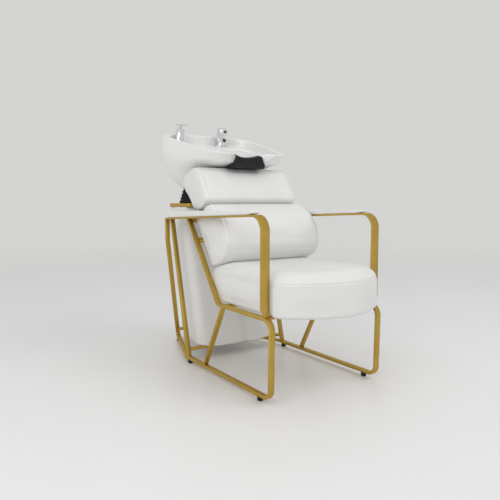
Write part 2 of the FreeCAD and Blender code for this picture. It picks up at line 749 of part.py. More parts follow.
screw_x = size("panel_half_width") + size("panel_lap") / 2
screw_heights = (size("panel_low") + size("panel_lap"), size("panel_high") - size("panel_lap"))
screw_spots = [(x, height) for x in (-screw_x, screw_x) for height in screw_heights]
hole_radius = "Sizes.screw_shank + Sizes.fit_clearance"
screw_holes = [panel_screw_shank(hole_radius, x, height) for x, height in screw_spots]
PANEL_SCREW_HOLES = group("panel_screw_holes", screw_holes)
node(group("panel_screws", [panel_screw(x, height) for x, height in screw_spots]), "panel_screws")
cabinet()
panel()


# Shelf plate and tilt mechanism

tilt_base_top = plate_top + size("tilt_base_thickness")
ear_in = size("cradle_ear_x") + size("ear_thickness") + size("ear_gap")
ear_out = ear_in + size("ear_thickness")


def bolt(name, x, y, seat, length, up, room):
    """Round-headed bolt: head on one side of its seat, shank on the other."""
    way = Vector(0, 0, up)
    head = cylinder("%s_head" % name, "Sizes.bolt_head_radius", "Sizes.bolt_head", Vector(x, y, seat), way)
    shank = cylinder("%s_shank" % name, "Sizes.bolt_radius + %s" % room, "Sizes.bolt_head + %.3f" % length,
                     Vector(x, y, seat - up * length), way)
    return [head, shank]


def bolt_set(label, middle_y, seat, length, up, room):
    """Four bolts at the corners of the tilt mechanism, with room round their shanks to drill holes."""
    bolts = []
    for x in (-size("bolt_spacing_x") / 2, size("bolt_spacing_x") / 2):
        for y in (middle_y - size("bolt_spacing_y") / 2, middle_y + size("bolt_spacing_y") / 2):
            bolts.append(fuse("%s_one" % label, bolt(label, x, y, seat, length, up, room)))
    return group(label, bolts)


def shelf_bolts(name, room):
    """Bolts that hold the tilt base down on the plate."""
    length = size("tilt_base_thickness") + size("plate_thickness")
    return shifted(bolt_set(name, size("pivot_y"), tilt_base_top, length, 1, room))


def shelf_plate():
    """Thick plate on the cabinet, slotted for the waste pipe."""
    half = size("plate_half_width")
    points = [
        Vector(-half, size("plate_front_y"), 0), Vector(half, size("plate_front_y"), 0),
        Vector(half, size("plate_rear_y"), 0), Vector(-half, size("plate_rear_y"), 0),
    ]
    radii = [size("plate_corner")] * len(points)
    blank = shifted(prism("plate_blank", points, radii, cabinet_top, plate_top))
    slotted = cut("plate_slotted", blank, waste_slot("plate_waste_slot", cabinet_top, plate_top))
    return node(cut("shelf_plate", slotted, SHELF_BOLT_HOLES), "shelf_plate")


def tilt_base():
    """Foot plate with two ears that carry the pivot pins."""
    half = size("tilt_base_half_width")
    pieces = [box("tilt_base_plate", Vector(-half, size("tilt_base_front_y"), plate_top),
                  Vector(half, size("tilt_base_rear_y"), tilt_base_top))]
    for x in (ear_in, -ear_out):
        low = Vector(x, size("pivot_y") - size("ear_radius"), plate_top)
        high = Vector(x + size("ear_thickness"), size("pivot_y") + size("ear_radius"), pivot_height)
        pieces.append(box("tilt_base_ear", low, high))
        pieces.append(cylinder("tilt_base_ear_round", "Sizes.ear_radius", "Sizes.ear_thickness",
                               Vector(x, size("pivot_y"), pivot_height), X_AXIS))
    for piece in pieces:
        shifted_box(piece, piece.Placement.Base.y)
    blank = fuse("tilt_base_blank", pieces)
    slotted = cut("tilt_base_slotted", blank, waste_slot("tilt_base_waste_slot", plate_top, tilt_base_top))
    drilled = cut("tilt_base_drilled", slotted, TILT_PIN_HOLES)
    return node(cut("tilt_base", drilled, SHELF_BOLT_HOLES), "tilt_base")


def tilt_pins(name, room):
    """Two headed stub pins in the ears of the tilt base, with room round them to drill holes."""
    pins = []
    for sign in (-1, 1):
        inner = Vector(sign * size("cradle_ear_x"), size("pivot_y"), pivot_height)
        outer = Vector(sign * ear_out, size("pivot_y"), pivot_height)
        way = X_AXIS * sign
        shank = cylinder("pin_shank", "Sizes.pin_radius + %s" % room,
                         "2 * Sizes.ear_thickness + Sizes.ear_gap + Sizes.pin_head", inner, way)
        head = cylinder("pin_head_disc", "Sizes.pin_head_radius", "Sizes.pin_head", outer, way)
        pins.append(fuse("tilt_pin", [shifted_box(shank, inner.y), shifted_box(head, outer.y)]))
    return group(name, pins)


node(shelf_bolts("shelf_bolts", "0"), "shelf_bolts")
node(tilt_pins("tilt_pins", "0"), "tilt_pins")
SHELF_BOLT_HOLES = shelf_bolts("shelf_bolt_holes", "Sizes.fit_clearance")
TILT_PIN_HOLES = tilt_pins("tilt_pin_holes", "Sizes.fit_clearance")
shelf_plate()
tilt_base()


# Bowl, drawn in its own frame: X across, Y along from the neck end, Z up from the rim

bowl_turn = FreeCAD.Rotation(X_AXIS, size("bowl_tilt_degrees"))
bowl_base = -size("bowl_depth")
chair_shift = (size("front_reach") - size("rear_reach")) / 2
neck_end = Vector(0, size("rim_front_y") + chair_shift, rim_height)
bowl_frame = FreeCAD.Placement(neck_end, bowl_turn)
pivot_place = Vector(0, size("pivot_y") + chair_shift, pivot_height)
pivot_local = bowl_frame.inverse().multVec(pivot_place)

# height, front end, rear end, half width in front, half width behind
BOWL_LIP = ((0, 0, 505, 214, 276), (-45, 34, 508, 217, 278))
BOWL_BODY = (
    (-45, 34, 508, 217, 278), (-85, 112, 506, 220, 276), (-130, 182, 500, 212, 262),
    (-190, 226, 478, 188, 225), (-243, 255, 425, 140, 148),
)
BASIN = (
    (-38, 96, 394, 194, 238), (-72, 128, 388, 190, 231), (-117, 196, 378, 182, 216),
    (-178, 240, 366, 160, 182), (-228, 266, 354, 122, 128),
)
REAR_VOID = ((-54, 410, 480, 176, 176), (-130, 398, 464, 140, 140), (-250, 376, 408, 80, 80))


def on_bowl(item, label, spot):
    """Moves a finished piece from the bowl's frame to its place on the chair."""
    place = bowl_frame.multiply(FreeCAD.Placement(spot, FreeCAD.Rotation()))
    item.Placement = place.multiply(item.Placement)
    return node(item, label)


def bowl_section(row):
    """Outline of the bowl at one height."""
    height, front, rear, front_half, rear_half = row
    points = [
        Vector(-front_half, front, height), Vector(front_half, front, height),
        Vector(rear_half, rear, height), Vector(-rear_half, rear, height),
    ]
    radius = min(size("bowl_corner"), size("bowl_corner_share") * (rear - front))
    return rounded_loop(points, [radius] * len(points))


def bowl_loft(name, rows, ruled):
    """Loft through the bowl's outlines at several heights."""
    return loft(name, [bowl_section(row) for row in rows], ruled)


def well_rows():
    """The shallow well inside the rim."""
    rows = []
    height, front, rear, front_half, rear_half = BOWL_LIP[0]
    for level, draft in ((overrun, 0), (-size("well_depth"), size("well_draft"))):
        inset = size("rim_width") + draft
        rows.append((level, front + inset, rear - inset, front_half - inset, rear_half - inset))
    return rows


def deck_hole(name, radius, x, along):
    """Hole through the rear deck for a fitting's shank."""
    start = -size("well_depth") - size("lip_height") / 2
    return cylinder(name, radius, "Sizes.lip_height", Vector(x, along, start), Vector(0, 0, 1))


def neck_trough(name, radius):
    """Round bar that lies across the neck wall, to hollow its top."""
    level = size("neck_dip_radius") - size("neck_dip")
    length = "Sizes.neck_radius + Sizes.neck_centre + Sizes.neck_wall + 2 * Sizes.overrun"
    return cylinder(name, radius, length, Vector(0, -overrun, level), Vector(0, 1, 0))


def bowl():
    """Ceramic bowl: rim, well, basin, neck scallop, holes."""
    neck = Vector(0, size("neck_centre"), bowl_base)
    upright = Vector(0, 0, 1)
    lip = bowl_loft("bowl_lip", BOWL_LIP, True)
    outside = fuse("bowl_outside", [lip, bowl_loft("bowl_body", BOWL_BODY, False)])
    wall = cylinder("neck_wall_form", "Sizes.neck_radius + Sizes.neck_wall", "2 * Sizes.bowl_depth",
                    neck, upright)
    well = cut("bowl_well", bowl_loft("bowl_well_form", well_rows(), True), wall)
    basin = bowl_loft("bowl_basin", BASIN, False)
    void = bowl_loft("bowl_void", REAR_VOID, True)
    scallop = cylinder("neck_scallop", "Sizes.neck_radius", "2 * Sizes.bowl_depth", neck, upright)
    dip = neck_trough("neck_dip_form", "Sizes.neck_dip_radius")
    drain = cylinder("drain_hole", "Sizes.drain_radius", "2 * Sizes.rim_width",
                     Vector(0, size("drain_along"), bowl_base - size("rim_width") / 2), upright)
    mixer = deck_hole("mixer_hole", "Sizes.mixer_shank_radius + Sizes.drain_clearance", size("mixer_x"),
                      size("mixer_along"))
    shower = deck_hole("shower_hole", "Sizes.holder_shank_radius + Sizes.drain_clearance", size("shower_x"),
                       size("shower_along"))
    shape = outside
    tools = (well, basin, void, scallop, dip, drain, mixer, shower, CRADLE_BOLT_HOLES)
    for i, tool in enumerate(tools):
        shape = cut("bowl_step_%d" % (i + 1), shape, tool)
    return on_bowl(shape, "bowl", Vector())


def swung(name, points, degrees):
    """Part-turn of an outline about the neck scallop's axis, both ways from the middle."""
    result = DOC.addObject("Part::Revolution", name)
    result.Source = wire_feature("%s_outline" % name, Part.makePolygon(points + points[:1]))
    result.Base = Vector(0, size("neck_centre"), 0)
    result.Axis = Vector(0, 0, 1)
    result.Angle = degrees
    result.Symmetric = True
    result.Solid = True
    return result


def common(name, first, second):
    """What two solids share."""
    result = DOC.addObject("Part::Common", name)
    result.Base = first
    result.Tool = second
    return result


def neck_ring(name, profile):
    """Part ring of the neck rest from an outline of (radius, height) points."""
    points = [Vector(0, size("neck_centre") + radius, height) for radius, height in profile]
    return swung(name, points, 2 * size("rest_half_degrees"))


# side outline of the tongue under the bowl: distance from the neck end and height
REST_TONGUE = ((30, -44), (85, -75.5), (85, -82), (62, -78), (30, -64))
# front outline of the rubber: place across the bowl and height
REST_FRONT = ((-58, 5), (58, 5), (80, -50), (80, -80), (-80, -80), (-80, -50))


def neck_rest():
    """Rubber saddle in the dipped wall, with an apron, a flare below it and a tongue under the bowl."""
    inner = size("neck_radius") - size("soft_gap")
    apron = inner - size("rest_apron")
    saddle = inner + size("rest_saddle")
    drop = -size("rest_drop")
    skirt = neck_ring("rest_skirt", (
        (apron, overrun), (inner, overrun), (inner, drop),
        (apron - size("rest_flare") + overrun, drop - size("rest_flare_drop")),
        (apron - size("rest_flare"), drop), (apron, drop + size("rest_flare"))))
    ridge = neck_ring("rest_ridge", ((apron, overrun), (saddle, overrun), (saddle, drop), (apron, drop)))
    seated = common("rest_seated", ridge, neck_trough("rest_bed", "Sizes.neck_dip_radius - Sizes.soft_gap"))
    outline = [Vector(along, height, 0) for along, height in REST_TONGUE]
    tongue = padded("rest_tongue_blank", "YZ_Plane", outline, "2 * Sizes.rest_tongue_half")
    tongue.setExpression("Placement.Base.x", "-Sizes.rest_tongue_half")
    room = cylinder("rest_tongue_room", "Sizes.neck_radius - Sizes.soft_gap - Sizes.rest_apron",
                    "Sizes.bowl_depth", Vector(0, size("neck_centre"), bowl_base), Vector(0, 0, 1))
    front = padded("rest_front", "XZ_Plane", [Vector(across, height, 0) for across, height in REST_FRONT],
                   "2 * Sizes.neck_radius")
    front.setExpression("Placement.Base.y", "Sizes.neck_radius")
    face = common("rest_face", fuse("rest_saddle", [skirt, seated]), front)
    blank = fuse("rest_blank", [face, cut("rest_tongue", tongue, room)])
    hollow = neck_trough("rest_hollow", "Sizes.neck_dip_radius - Sizes.rest_thickness")
    return on_bowl(cut("neck_rest", blank, hollow), "neck_rest", Vector())


def cradle_bolts(name, room):
    """Bolts up through the cradle into the bowl's base."""
    seat = bowl_base - size("cradle_thickness")
    return bolt_set(name, size("cradle_along"), seat, size("cradle_thickness") + size("bolt_grip"), -1, room)


CRADLE_BOLT_HOLES = cradle_bolts("cradle_bolt_holes", "Sizes.fit_clearance")
bowl()
neck_rest()


# Tilt cradle and drain

def cradle():
    """Plate under the bowl with two ears on the pivot pins."""
    half = size("cradle_half_width")
    low_level = bowl_base - size("cradle_thickness")
    along = size("cradle_along")
    pieces = [box("cradle_plate", Vector(-half, along - size("cradle_half_length"), low_level),
                  Vector(half, along + size("cradle_half_length"), bowl_base))]
    for x in (size("cradle_ear_x"), -size("cradle_ear_x") - size("ear_thickness")):
        low = Vector(x, pivot_local.y - size("ear_radius"), pivot_local.z)
        high = Vector(x + size("ear_thickness"), pivot_local.y + size("ear_radius"), bowl_base)
        pieces.append(box("cradle_ear", low, high))
        pieces.append(cylinder("cradle_ear_round", "Sizes.ear_radius", "Sizes.ear_thickness",
                               Vector(x, pivot_local.y, pivot_local.z), X_AXIS))
    blank = fuse("cradle_blank", pieces)
    hole = cylinder("cradle_hole", "Sizes.cradle_hole_radius", "Sizes.cradle_thickness + 2 * Sizes.overrun",
                    Vector(0, size("drain_along"), low_level - overrun), Vector(0, 0, 1))
    bore = cylinder("cradle_bore", "Sizes.pin_radius + Sizes.pin_clearance", "2 * Sizes.cradle_half_width",
                    Vector(-half, pivot_local.y, pivot_local.z), X_AXIS)
    opened = cut("cradle_opened", blank, hole)
    bored = cut("cradle_bored", opened, bore)
    return on_bowl(cut("tilt_cradle", bored, CRADLE_BOLT_HOLES), "tilt_cradle", Vector())


drain_spot = Vector(0, size("drain_along"), 0)
spigot_outer = size("drain_radius") - size("drain_clearance")
spigot_inner = spigot_outer - size("spigot_wall")
basin_floor = -size("basin_floor")
flange_top = basin_floor + size("flange_height")
nut_bottom = bowl_base - size("nut_height")
strainer_plug = spigot_inner - size("soft_gap")
strainer_top = flange_top + size("flange_height")


def drain():
    """Flange in the basin floor, its nut, the tailpiece and the strainer."""
    spigot_end = -size("spigot_end")
    flange = turned("drain_flange", (
        (spigot_inner, flange_top), (size("flange_radius"), flange_top),
        (size("flange_radius"), basin_floor), (spigot_outer, basin_floor),
        (spigot_outer, spigot_end), (spigot_inner, spigot_end)))
    nut = turned("drain_nut", (
        (size("drain_radius"), bowl_base), (size("nut_radius"), bowl_base), (size("nut_radius"), nut_bottom),
        (size("drain_radius"), nut_bottom)))
    tail_outer = size("drain_radius") + size("tail_wall")
    tail = turned("tailpiece", (
        (size("drain_radius"), nut_bottom), (tail_outer, nut_bottom), (tail_outer, -size("tail_end")),
        (size("drain_radius"), -size("tail_end"))))
    disc = turned("strainer_disc", (
        (0, strainer_top), (size("strainer_radius"), strainer_top), (size("strainer_radius"), flange_top),
        (strainer_plug, flange_top), (strainer_plug, basin_floor), (0, basin_floor)))
    holes = []
    for i in range(int(size("strainer_holes"))):
        turn = 2 * math.pi * i / size("strainer_holes")
        spot = Vector(math.cos(turn), math.sin(turn), 0) * size("strainer_ring_radius")
        spot.z = basin_floor - overrun
        holes.append(cylinder("strainer_hole", "Sizes.strainer_hole_radius",
                              "2 * Sizes.flange_height + 2 * Sizes.overrun", spot, Vector(0, 0, 1)))
    strainer = cut("strainer", disc, group("strainer_hole_ring", holes))
    for item in (flange, nut, tail, strainer):
        on_bowl(item, item.Name, drain_spot)


cradle()
drain()
on_bowl(cradle_bolts("cradle_bolts", "0"), "cradle_bolts", Vector())


# Bellows

# bulge of the wall at the four sections of one rib
RIB_SHARES = (0, 0.8, 1, 0.8)


def bellows_section(share, half_width, half_depth, corner):
    """Outline between the shelf plate and the underside of the bowl, at a share of the way up."""
    tilt = FreeCAD.Rotation(X_AXIS, size("bowl_tilt_degrees") * share)
    low = Vector(0, size("pivot_y") + chair_shift, plate_top)
    high = bowl_frame.multVec(Vector(0, size("bellows_top_along"), bowl_base - size("soft_gap")))
    middle = low + (high - low) * share
    flat = [
        Vector(-half_width, -half_depth, 0), Vector(half_width, -half_depth, 0),
        Vector(half_width, half_depth, 0), Vector(-half_width, half_depth, 0),
    ]
    points = [middle + tilt.multVec(point) for point in flat]
    return rounded_loop(points, [corner] * len(points))


def bellows():
    """Ribbed boot round the tilt mechanism."""
    steps = int(size("bellows_ribs")) * len(RIB_SHARES)
    outer, inner = [], []
    for i in range(steps + 1):
        share = i / steps
        bulge = RIB_SHARES[i % len(RIB_SHARES)] * size("bellows_rib_depth")
        hollow = bulge - size("bellows_wall")
        width = (1 - share) * size("bellows_half_width") + share * size("bellows_top_half_width")
        depth = (1 - share) * size("bellows_half_depth") + share * size("bellows_top_half_depth")
        corner = size("bellows_corner")
        outer.append(bellows_section(share, width + bulge, depth + bulge, corner + bulge))
        inner.append(bellows_section(share, width + hollow, depth + hollow, corner + hollow))
    boot = cut("bellows", loft("bellows_outside", outer, True), loft("bellows_inside", inner, True))
    return node(boot, "bellows")


bellows()


# Mixer: body on the deck, cap that turns, lever that lifts

deck = -size("well_depth")
mixer_spot = Vector(size("mixer_x"), size("mixer_along"), deck)
cap_bottom = size("mixer_height") + size("cap_gap")
cap_top = cap_bottom + size("cap_height")
lever_level = cap_top + size("lever_axis")
lever_bar_level = lever_level + size("lever_rise")


def mixer_body():
    """Round column with a base ring, a shank through the deck and a spindle on top."""
    column = turned("mixer_body", (
        (0, -size("mixer_shank")), (size("mixer_shank_radius"), -size("mixer_shank")),
        (size("mixer_shank_radius"), 0), (size("mixer_base_radius"), 0),
        (size("mixer_base_radius"), size("mixer_base")), (size("mixer_radius"), size("mixer_base")),
        (size("mixer_radius"), size("mixer_height")), (size("spindle_radius"), size("mixer_height")),
        (size("spindle_radius"), size("mixer_height") + size("spindle_height")),
        (0, size("mixer_height") + size("spindle_height"))))
    return on_bowl(column, "mixer_body", mixer_spot)


def mixer_cap():
    """Cap on the spindle, with two cheeks for the lever."""
    bore = size("spindle_radius") + size("spindle_clearance")
    bore_top = size("mixer_height") + size("spindle_height") + size("cap_gap")
    radius = size("cap_radius")
    chamfer = size("cap_chamfer")
    hat = turned("mixer_cap_hat", (
        (bore, cap_bottom), (radius, cap_bottom), (radius, cap_top - chamfer),
        (radius - chamfer, cap_top), (0, cap_top), (0, bore_top), (bore, bore_top)))
    pieces = [hat]
    inner = size("tongue_half") + size("fork_gap")
    for y in (inner, -inner - size("cheek_width")):
        low = Vector(-size("cheek_half"), y, cap_top - chamfer)
        high = Vector(size("cheek_half"), y + size("cheek_width"), lever_level + size("cheek_rise"))
        pieces.append(box("mixer_cheek", low, high))
    blank = fuse("mixer_cap_blank", pieces)
    hole = cylinder("mixer_cheek_hole", "Sizes.lever_pin_radius + Sizes.spindle_clearance",
                    "2 * Sizes.fork_width", Vector(0, -size("fork_width"), lever_level), Vector(0, 1, 0))
    return on_bowl(cut("mixer_cap", blank, hole), "mixer_cap", mixer_spot)


def mixer_lever():
    """Bar on a tongue between the cheeks, with its pin."""
    reach = size("tongue_half") + size("fork_gap") + size("cheek_width")
    pin_length = "2 * (Sizes.tongue_half + Sizes.fork_gap + Sizes.cheek_width)"
    tongue = box("lever_tongue", Vector(-size("cheek_half"), -size("tongue_half"), lever_level),
                 Vector(size("cheek_half"), size("tongue_half"), lever_bar_level))
    knuckle = cylinder("lever_knuckle", "Sizes.cheek_half", "2 * Sizes.tongue_half",
                       Vector(0, -size("tongue_half"), lever_level), Vector(0, 1, 0))
    pin = cylinder("lever_pin", "Sizes.lever_pin_radius", pin_length,
                   Vector(0, -reach, lever_level), Vector(0, 1, 0))
    handle = cylinder("lever_bar", "Sizes.lever_radius", "Sizes.lever_back + Sizes.lever_front",
                      Vector(-size("lever_back"), 0, lever_bar_level), X_AXIS)
    return on_bowl(fuse("mixer_lever", [tongue, knuckle, pin, handle]), "mixer_lever", mixer_spot)


mixer_body()
mixer_cap()
mixer_lever()


# Hand shower in its holder

shower_spot = Vector(size("shower_x"), size("shower_along"), deck)
bore = size("handle_radius") + size("shower_clearance")
head_bottom = size("holder_height") + size("shower_clearance")
head_top = head_bottom + size("head_height")
nozzle_level = head_bottom + size("nozzle_height")
button_level = head_top - size("button_drop")


def shower_holder():
    """Sleeve on the deck, open below."""
    sleeve = turned("shower_holder", (
        (bore, -size("holder_shank")), (size("holder_shank_radius"), -size("holder_shank")),
        (size("holder_shank_radius"), 0), (size("holder_base_radius"), 0),
        (size("holder_base_radius"), size("holder_base")), (size("holder_radius"), size("holder_base")),
        (size("holder_radius"), size("holder_height")), (bore, size("holder_height"))))
    return on_bowl(sleeve, "shower_holder", shower_spot)


def front_plug(name, radius, proud, level):
    """Round plug that stands out of the head towards the neck end; sizes are expressions."""
    return cylinder(name, radius, "Sizes.head_radius + %s - Sizes.nozzle_recess" % proud,
                    Vector(0, -size("nozzle_recess"), level), Vector(0, -1, 0))


def nozzle(name, room):
    """Outlet of the hand shower, with room round it to cut its pocket."""
    return front_plug(name, "Sizes.nozzle_radius + %s" % room, "Sizes.nozzle_length", nozzle_level)


def button(name, room):
    """Thumb button above the outlet, with room round it to cut its pocket."""
    return front_plug(name, "Sizes.button_radius + %s" % room, "Sizes.button_height", button_level)


def hand_shower():
    """Head on a short handle that stands in the sleeve."""
    neck = size("holder_radius")
    shoulder = head_bottom + size("head_neck")
    handle = size("handle_radius")
    foot_level = -size("handle_drop")
    form = turned("hand_shower_form", (
        (0, foot_level), (handle, foot_level), (handle, head_bottom),
        (neck, head_bottom), (neck, shoulder - size("head_neck") / 2), (size("head_radius"), shoulder),
        (size("head_radius"), head_top - size("head_crown")), (neck, head_top), (0, head_top)))
    opened = cut("hand_shower_opened", form, nozzle("nozzle_pocket", "Sizes.fit_clearance"))
    head = cut("hand_shower", opened, button("button_pocket", "Sizes.fit_clearance"))
    return on_bowl(head, "hand_shower", shower_spot)


shower_holder()
hand_shower()
on_bowl(nozzle("shower_nozzle", "0"), "shower_nozzle", shower_spot)
on_bowl(button("shower_button", "0"), "shower_button", shower_spot)


# Check and export

DOC.recompute()
faults = []
for item in DOC.Objects:
    if "Invalid" in item.State or "Error" in item.State:
        faults.append("%s is in state %s" % (item.Label, item.State))
for item in NODES:
    if item.Shape.isNull() or not item.Shape.isValid():
        faults.append("%s has no valid shape" % item.Label)
    elif not item.Shape.Solids:
        faults.append("%s has no solid" % item.Label)
if faults:
    raise RuntimeError("; ".join(faults))
os.makedirs("parts", exist_ok=True)
for item in NODES:
    item.Shape.exportStep("parts/%s.step" % item.Label)
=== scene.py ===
"""Looks of the salon shampoo chair: camera, stage, upholstery, ceramic, metal and rubber."""
import json
import math
import bmesh
import bpy
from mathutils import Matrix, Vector
from mathutils.bvhtree import BVHTree

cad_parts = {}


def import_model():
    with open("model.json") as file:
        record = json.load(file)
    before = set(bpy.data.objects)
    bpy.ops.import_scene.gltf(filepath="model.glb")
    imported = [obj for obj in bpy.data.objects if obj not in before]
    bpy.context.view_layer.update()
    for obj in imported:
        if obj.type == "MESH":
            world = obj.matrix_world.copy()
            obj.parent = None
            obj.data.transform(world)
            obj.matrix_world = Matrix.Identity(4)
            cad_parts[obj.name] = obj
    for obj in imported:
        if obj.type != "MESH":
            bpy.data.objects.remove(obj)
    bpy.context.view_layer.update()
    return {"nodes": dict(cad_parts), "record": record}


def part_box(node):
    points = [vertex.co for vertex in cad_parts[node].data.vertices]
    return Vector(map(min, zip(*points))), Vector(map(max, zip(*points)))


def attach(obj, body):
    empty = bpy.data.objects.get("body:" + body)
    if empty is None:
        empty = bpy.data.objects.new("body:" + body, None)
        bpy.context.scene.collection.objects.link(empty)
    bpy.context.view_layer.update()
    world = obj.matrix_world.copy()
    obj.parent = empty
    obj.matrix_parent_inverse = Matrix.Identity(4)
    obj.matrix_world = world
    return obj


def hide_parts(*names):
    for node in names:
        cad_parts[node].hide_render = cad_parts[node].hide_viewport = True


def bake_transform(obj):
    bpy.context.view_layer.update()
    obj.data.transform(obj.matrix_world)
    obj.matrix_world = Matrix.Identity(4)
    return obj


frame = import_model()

NODES = frame["nodes"]
BODIES = frame["record"]["behaviour"]["bodies"]
BODY_OF = {node: body for body, members in BODIES.items() for node in members}
SLOT_OF = {part["node"]: part["material_slot"] for part in frame["record"]["subparts"]}
SCENE = bpy.context.scene
SCENE.view_settings.view_transform = "Standard"


# Camera

CAMERA_PLACE = (-1.3530, -1.99815, 0.7247)
CAMERA_AZIMUTH = math.radians(33.16)
CAMERA_PITCH = math.radians(5.09)
LENS = 39.31
SENSOR_WIDTH = 36
VIEW_DEPTH = 100

camera_data = bpy.data.cameras.new("camera")
camera_data.lens = LENS
camera_data.sensor_width = SENSOR_WIDTH
camera_data.clip_end = VIEW_DEPTH
camera = bpy.data.objects.new("camera", camera_data)
camera.location = CAMERA_PLACE
camera.rotation_euler = (math.pi / 2 - CAMERA_PITCH, 0, -CAMERA_AZIMUTH)
SCENE.collection.objects.link(camera)
SCENE.camera = camera


# Materials

RAMP_START = 0.3
RAMP_END = 0.7
PATCH_DETAIL = 4
ROUGH_DETAIL = 5
ROUGH_FINENESS = 3
GRAIN_DETAIL = 6
WAVE_SCALE = 9
WAVE_DETAIL = 2
WAVE_DEPTH = 0.004


def new_material(name):
    """New node material, with its node tree, its principled shader and its object coordinates."""
    material = bpy.data.materials.new(name)
    material.use_nodes = True
    tree = material.node_tree
    tree.nodes.clear()
    output = tree.nodes.new("ShaderNodeOutputMaterial")
    shader = tree.nodes.new("ShaderNodeBsdfPrincipled")
    tree.links.new(shader.outputs["BSDF"], output.inputs["Surface"])
    coordinates = tree.nodes.new("ShaderNodeTexCoord")
    return material, tree, shader, coordinates.outputs["Object"]


def noise(tree, coordinates, scale, detail):
    """Noise texture's grey output."""
    texture = tree.nodes.new("ShaderNodeTexNoise")
    texture.inputs["Scale"].default_value = scale
    texture.inputs["Detail"].default_value = detail
    tree.links.new(coordinates, texture.inputs["Vector"])
    return texture.outputs["Fac"]


def cells(tree, coordinates, scale):
    """Distance to the nearest cell centre, for grain."""
    texture = tree.nodes.new("ShaderNodeTexVoronoi")
    texture.inputs["Scale"].default_value = scale
    tree.links.new(coordinates, texture.inputs["Vector"])
    return texture.outputs["Distance"]


def spread(tree, source, low, high):
    """Maps a 0 to 1 value to a range."""
    node = tree.nodes.new("ShaderNodeMapRange")
    node.inputs["To Min"].default_value = low
    node.inputs["To Max"].default_value = high
    tree.links.new(source, node.inputs["Value"])
    return node.outputs["Result"]


def two_colours(tree, source, dark, light):
    """Ramp between two colours."""
    node = tree.nodes.new("ShaderNodeValToRGB")
    start, end = node.color_ramp.elements
    start.color = (*dark, 1)
    start.position = RAMP_START
    end.color = (*light, 1)
    end.position = RAMP_END
    tree.links.new(source, node.inputs["Fac"])
    return node.outputs["Color"]


def bump(tree, heights, shader):
    """Chain of bumps, each given as (height output, strength, distance in metres)."""
    previous = None
    for height, strength, distance in heights:
        node = tree.nodes.new("ShaderNodeBump")
        node.inputs["Strength"].default_value = strength
        node.inputs["Distance"].default_value = distance
        tree.links.new(height, node.inputs["Height"])
        if previous:
            tree.links.new(previous, node.inputs["Normal"])
        previous = node.outputs["Normal"]
    tree.links.new(previous, shader.inputs["Normal"])


def surface(name, dark, light, patch_scale, rough, grain_scale, grain_strength, grain_depth,
            wave_strength=0.0, metallic=0.0, coat=0.0, specular=0.5, cell_grain=False):
    """Material with patchy colour, patchy roughness within a range, and a fine grain.

    wave_strength adds slow waves, such as those of stretched leather, and cell_grain gives pores.
    """
    material, tree, shader, coordinates = new_material(name)
    shader.inputs["Metallic"].default_value = metallic
    shader.inputs["Coat Weight"].default_value = coat
    shader.inputs["Specular IOR Level"].default_value = specular
    patches = noise(tree, coordinates, patch_scale, PATCH_DETAIL)
    tree.links.new(two_colours(tree, patches, dark, light), shader.inputs["Base Color"])
    wear = noise(tree, coordinates, patch_scale * ROUGH_FINENESS, ROUGH_DETAIL)
    tree.links.new(spread(tree, wear, *rough), shader.inputs["Roughness"])
    if cell_grain:
        grain = cells(tree, coordinates, grain_scale)
    else:
        grain = noise(tree, coordinates, grain_scale, GRAIN_DETAIL)
    heights = [(grain, grain_strength, grain_depth)]
    if wave_strength:
        heights.append((noise(tree, coordinates, WAVE_SCALE, WAVE_DETAIL), wave_strength, WAVE_DEPTH))
    bump(tree, heights, shader)
    return material


LEATHER = surface(
    "leatherette", dark=(0.755, 0.755, 0.745), light=(0.80, 0.80, 0.79), patch_scale=6, rough=(0.42, 0.55),
    grain_scale=950, grain_strength=0.16, grain_depth=0.0004, wave_strength=0.10, cell_grain=True)
THREAD = surface(
    "thread", dark=(0.60, 0.60, 0.59), light=(0.68, 0.68, 0.67), patch_scale=300, rough=(0.6, 0.8),
    grain_scale=1800, grain_strength=0.3, grain_depth=0.0003)
CERAMIC = surface(
    "ceramic", dark=(0.82, 0.82, 0.81), light=(0.85, 0.85, 0.84), patch_scale=5, rough=(0.10, 0.17),
    grain_scale=40, grain_strength=0.03, grain_depth=0.0006, coat=0.6)
GOLD = surface(
    "gold", dark=(0.55, 0.378, 0.084), light=(0.62, 0.426, 0.097), patch_scale=14, rough=(0.50, 0.62),
    grain_scale=700, grain_strength=0.05, grain_depth=0.0002, metallic=1)
RUBBER = surface(
    "rubber", dark=(0.010, 0.010, 0.010), light=(0.020, 0.020, 0.019), patch_scale=25, rough=(0.52, 0.70),
    grain_scale=900, grain_strength=0.12, grain_depth=0.0003, specular=0.3)
BOOT = surface(
    "boot", dark=(0.004, 0.004, 0.004), light=(0.009, 0.009, 0.008), patch_scale=25, rough=(0.60, 0.75),
    grain_scale=900, grain_strength=0.12, grain_depth=0.0003, specular=0.2)
CHROME = surface(
    "chrome", dark=(0.80, 0.805, 0.81), light=(0.87, 0.875, 0.88), patch_scale=30, rough=(0.12, 0.20),
    grain_scale=300, grain_strength=0.02, grain_depth=0.0001, metallic=1)
STEEL = surface(
    "steel", dark=(0.42, 0.42, 0.43), light=(0.55, 0.55, 0.56), patch_scale=40, rough=(0.30, 0.45),
    grain_scale=800, grain_strength=0.08, grain_depth=0.0002, metallic=1)
PLASTIC = surface(
    "black_plastic", dark=(0.014, 0.014, 0.014), light=(0.026, 0.026, 0.026), patch_scale=40,
    rough=(0.35, 0.5), grain_scale=1100, grain_strength=0.1, grain_depth=0.0002)
WASTE = surface(
    "waste_plastic", dark=(0.60, 0.60, 0.59), light=(0.68, 0.68, 0.67), patch_scale=30, rough=(0.4, 0.55),
    grain_scale=600, grain_strength=0.06, grain_depth=0.0002)
